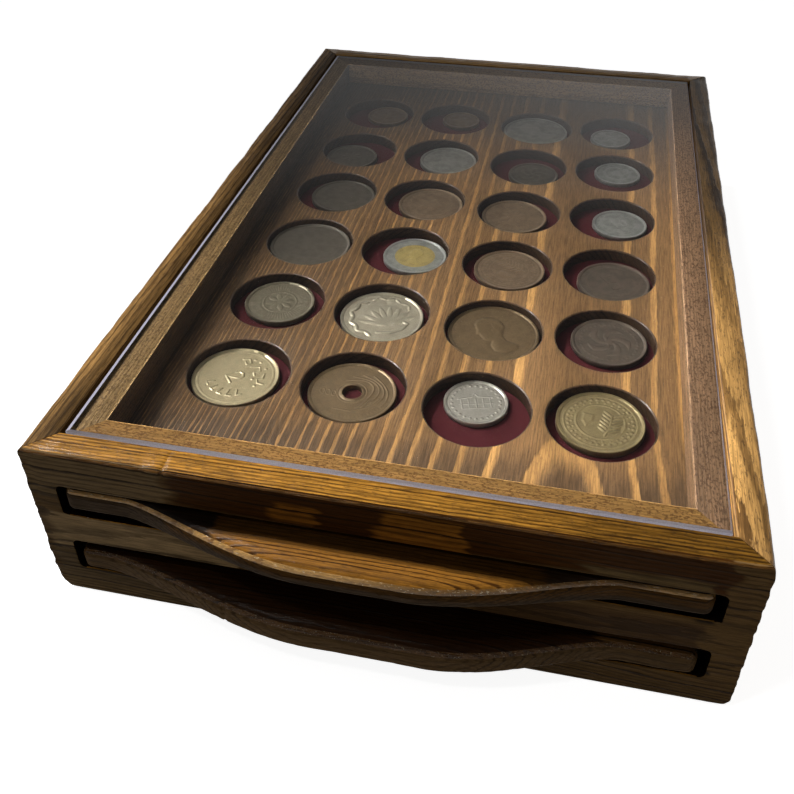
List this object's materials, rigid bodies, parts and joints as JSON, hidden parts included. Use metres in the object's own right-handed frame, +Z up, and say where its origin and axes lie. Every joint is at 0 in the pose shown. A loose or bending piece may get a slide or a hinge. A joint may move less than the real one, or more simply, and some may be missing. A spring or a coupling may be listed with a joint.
{
  "type": "coin display case",
  "caption": "Low mitred pine case with a glass top and two slide-out trays bored with round pockets, each tray with a bowed handle lip; coins lie in the upper tray.",
  "frame": {"origin": "centre of the case's underside, on the table, midway between the outer faces of its four boards", "axes": "+Z up, -Y out of the front where the handles are, +X to the right as the handles are faced"},
  "size_m": [0.21, 0.339, 0.062],
  "materials": {
    "case_pine": "brushed, stained and lacquered pine",
    "strip_pine": "stained, thinly lacquered pine strip",
    "handle_pine": "stained and glossy lacquered pine",
    "tray_pine": "stained pine with light figure",
    "thin_board": "thin plain board",
    "maroon_card": "smooth matt maroon",
    "clear_glass": "clear float glass, ground edges",
    "pale_brass": "worn coin metal",
    "gold_brass": "worn coin metal",
    "bronze": "worn coin metal",
    "brown_bronze": "worn coin metal",
    "dark_bronze": "worn coin metal",
    "old_nickel": "worn coin metal",
    "bright_silver": "worn coin metal",
    "light_silver": "worn coin metal",
    "gold_centre": "worn coin metal",
    "grey_zinc": "worn coin metal"
  },
  "bodies": {
    "case": {"back_board": "case_pine", "floor_panel": "thin_board", "front_board": "case_pine", "glass_pane": "clear_glass", "ledge_back": "strip_pine", "ledge_front": "strip_pine", "ledge_left": "strip_pine", "ledge_right": "strip_pine", "left_board": "case_pine", "lower_runner_left": "strip_pine", "lower_runner_right": "strip_pine", "right_board": "case_pine", "upper_runner_left": "strip_pine", "upper_runner_right": "strip_pine"},
    "upper_tray": {"coin_a1": "pale_brass", "coin_a2": "bronze", "coin_a3": "bright_silver", "coin_a4": "gold_brass", "coin_b1": "old_nickel", "coin_b2": "bright_silver", "coin_b3": "bronze", "coin_b4": "dark_bronze", "coin_c1": "grey_zinc", "coin_c2_core": "gold_centre", "coin_c2_ring": "light_silver", "coin_c3": "brown_bronze", "coin_c4": "dark_bronze", "coin_d1": "grey_zinc", "coin_d2": "brown_bronze", "coin_d3": "brown_bronze", "coin_d4": "light_silver", "coin_e1": "grey_zinc", "coin_e2": "light_silver", "coin_e3": "grey_zinc", "coin_e4": "light_silver", "coin_f1": "brown_bronze", "coin_f2": "brown_bronze", "coin_f3": "light_silver", "coin_f4": "light_silver", "upper_backing": "thin_board", "upper_handle": "handle_pine", "upper_lining": "maroon_card", "upper_plate": "tray_pine"},
    "lower_tray": {"lower_backing": "thin_board", "lower_handle": "handle_pine", "lower_lining": "maroon_card", "lower_plate": "tray_pine"}
  },
  "joints": [
    {"name": "upper_tray_slide", "type": "slide", "parent": "case", "child": "upper_tray", "axis": [0, -1, 0], "range_m": [0, 0.25]},
    {"name": "lower_tray_slide", "type": "slide", "parent": "case", "child": "lower_tray", "axis": [0, -1, 0], "range_m": [0, 0.25]}
  ]
}
